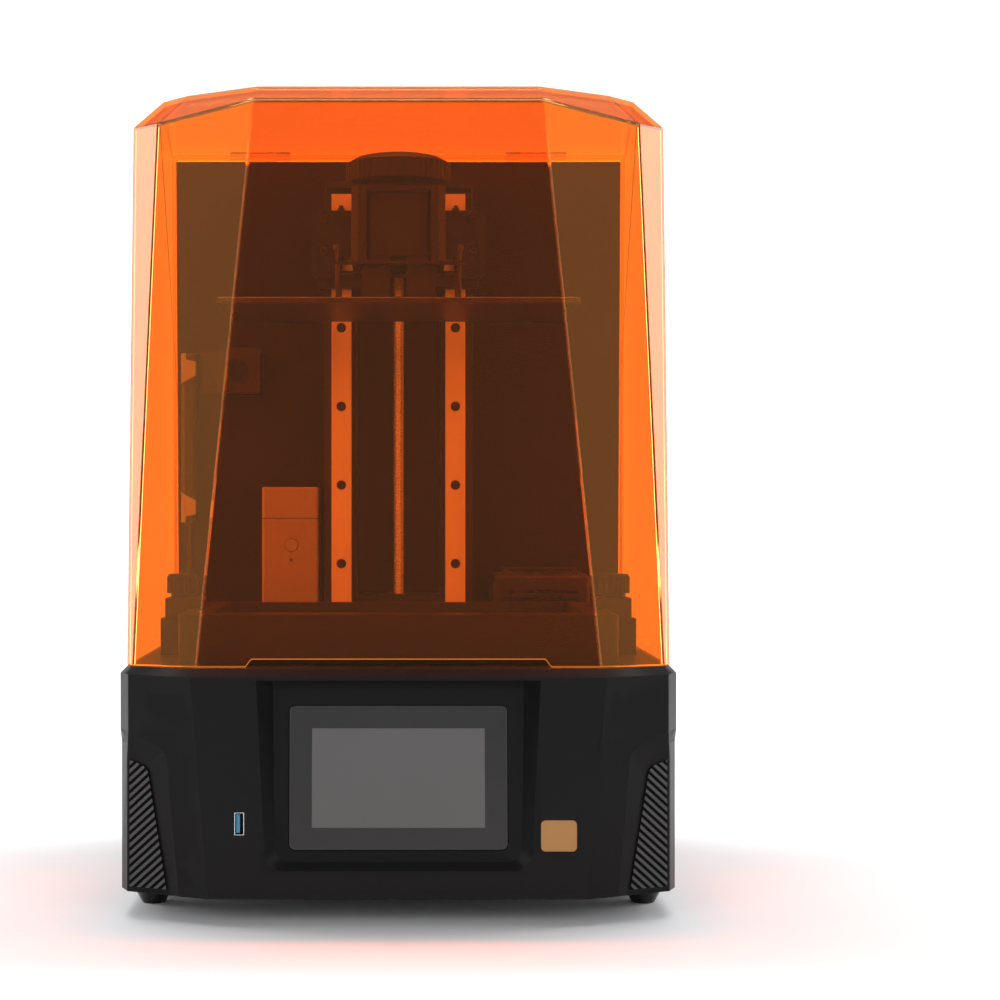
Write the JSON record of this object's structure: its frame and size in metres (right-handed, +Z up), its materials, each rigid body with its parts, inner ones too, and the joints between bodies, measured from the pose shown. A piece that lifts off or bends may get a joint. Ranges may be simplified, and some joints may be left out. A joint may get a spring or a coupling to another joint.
{
  "type": "resin 3d printer",
  "caption": "Desktop resin 3D printer: flip-up tinted cover over a vat and a build plate that rides a vertical screw axis, on a case with a touch screen.",
  "frame": {"origin": "on the table under the middle of the machine's box", "axes": "+Z up, +Y to the back, +X to the right of a person facing the screen"},
  "size_m": [0.366, 0.385, 0.5524],
  "materials": {
    "case_black": "fine moulded texture",
    "case_dark_metal": "satin powder coat",
    "floor_steel": "satin powder coat",
    "insert_weave": "ribbed woven look",
    "foot_rubber": "matt",
    "screen_glass": "polished",
    "display_grey": "polished",
    "socket_steel": "bright",
    "socket_blue": "satin",
    "badge_tan": "satin",
    "lcd_glass": "polished",
    "engine_black": "matt",
    "board_green": "solder mask",
    "lens_clear": "clear",
    "bare_aluminium": "machined",
    "fan_black": "moulded",
    "supply_steel": "zinc plated",
    "cover_orange": "polished tinted acrylic",
    "back_black": "satin",
    "column_black": "anodised",
    "rail_steel": "ground",
    "screw_black": "black oxide",
    "screw_steel": "rolled thread",
    "hinge_steel": "black",
    "pin_steel": "ground",
    "arm_black": "anodised",
    "nut_brass": "turned",
    "plate_steel": "laser textured",
    "vat_metal": "anodised",
    "film_clear": "clear film",
    "purifier_white": "satin",
    "lens_black": "polished"
  },
  "bodies": {
    "printer": {"base_shell": "case_black", "base_plate": "floor_steel", "feet": "foot_rubber", "deck_plate": "case_dark_metal", "side_insert_left": "insert_weave", "side_insert_right": "insert_weave", "screen_glass": "screen_glass", "display_panel": "display_grey", "usb_port": "socket_steel", "usb_tongue": "socket_blue", "badge": "badge_tan", "lcd_panel": "lcd_glass", "light_housing": "engine_black", "led_board": "board_green", "lens_plate": "lens_clear", "heat_sink": "bare_aluminium", "light_fan_frame": "fan_black", "mainboard": "board_green", "power_supply": "supply_steel", "power_inlet": "fan_black", "switch_frame": "fan_black", "back_wall": "back_black", "back_housing": "back_black", "hinge_brackets": "hinge_steel", "hinge_pins": "pin_steel", "z_column": "column_black", "linear_rails": "rail_steel", "rail_screws": "screw_black", "z_motor": "screw_black", "screw_bearings": "column_black", "vat_frame": "vat_metal", "vat_film": "film_clear", "film_ring": "bare_aluminium", "vat_screws": "screw_steel", "vat_clamps": "arm_black", "purifier_case": "purifier_white", "purifier_cap": "purifier_white", "heater_case": "fan_black", "camera_case": "fan_black", "camera_lens": "lens_black", "light_bar": "fan_black"},
    "cover": {"cover_hood": "cover_orange", "hinge_leaves": "cover_orange"},
    "carriage": {"linear_blocks": "rail_steel", "carriage_plate": "arm_black", "nut_block": "arm_black", "screw_nut": "nut_brass", "plate_arm": "arm_black", "plate_mount": "arm_black", "levelling_screws": "screw_black", "build_plate": "plate_steel"},
    "plate_knob": {"plate_knob": "arm_black"},
    "lead_screw": {"lead_screw": "screw_steel"},
    "vat_knob_left": {"vat_knob_left": "arm_black"},
    "vat_knob_right": {"vat_knob_right": "arm_black"},
    "light_fan": {"light_fan_rotor": "fan_black"},
    "heater_fan": {"heater_rotor": "fan_black"},
    "power_rocker": {"switch_rocker": "fan_black"},
    "purifier_button": {"purifier_button": "purifier_white"}
  },
  "joints": [
    {"name": "cover_hinge", "type": "hinge", "parent": "printer", "child": "cover", "pos_m": [0, 0.141, 0.5497], "axis": [-1, 0, 0], "range_deg": [0, 90]},
    {"name": "z_travel", "type": "slide", "parent": "printer", "child": "carriage", "axis": [0, 0, 1], "range_m": [-0.239, 0.012]},
    {"name": "lead_screw_turn", "type": "hinge", "parent": "printer", "child": "lead_screw", "pos_m": [0, 0.0975, 0.319], "axis": [0, 0, 1], "range_deg": [-21600, 1100]},
    {"name": "plate_knob_turn", "type": "hinge", "parent": "carriage", "child": "plate_knob", "pos_m": [0, -0.037, 0.509], "axis": [0, 0, 1], "range_deg": [0, 360]},
    {"name": "vat_knob_left_turn", "type": "hinge", "parent": "printer", "child": "vat_knob_left", "pos_m": [-0.153, -0.0425, 0.2], "axis": [0, 0, 1], "range_deg": [0, 360]},
    {"name": "vat_knob_right_turn", "type": "hinge", "parent": "printer", "child": "vat_knob_right", "pos_m": [0.153, -0.0425, 0.2], "axis": [0, 0, 1], "range_deg": [0, 360]},
    {"name": "light_fan_spin", "type": "hinge", "parent": "printer", "child": "light_fan", "pos_m": [0, -0.037, 0.034], "axis": [0, 0, 1], "continuous": true},
    {"name": "heater_fan_spin", "type": "hinge", "parent": "printer", "child": "heater_fan", "pos_m": [0.1091, 0.0995, 0.208], "axis": [0, 0, 1], "continuous": true},
    {"name": "power_rocker_tilt", "type": "hinge", "parent": "printer", "child": "power_rocker", "pos_m": [-0.078, 0.1855, 0.062], "axis": [1, 0, 0], "range_deg": [-8, 8]},
    {"name": "purifier_button_press", "type": "slide", "parent": "printer", "child": "purifier_button", "axis": [0, 1, 0], "range_m": [0, 0.001], "stiffness_N_per_m": 600, "springref_m": -0.001}
  ],
  "couplings": [
    {"joint": "lead_screw_turn", "follows": "z_travel", "rad_per_m": 1570.8}
  ]
}
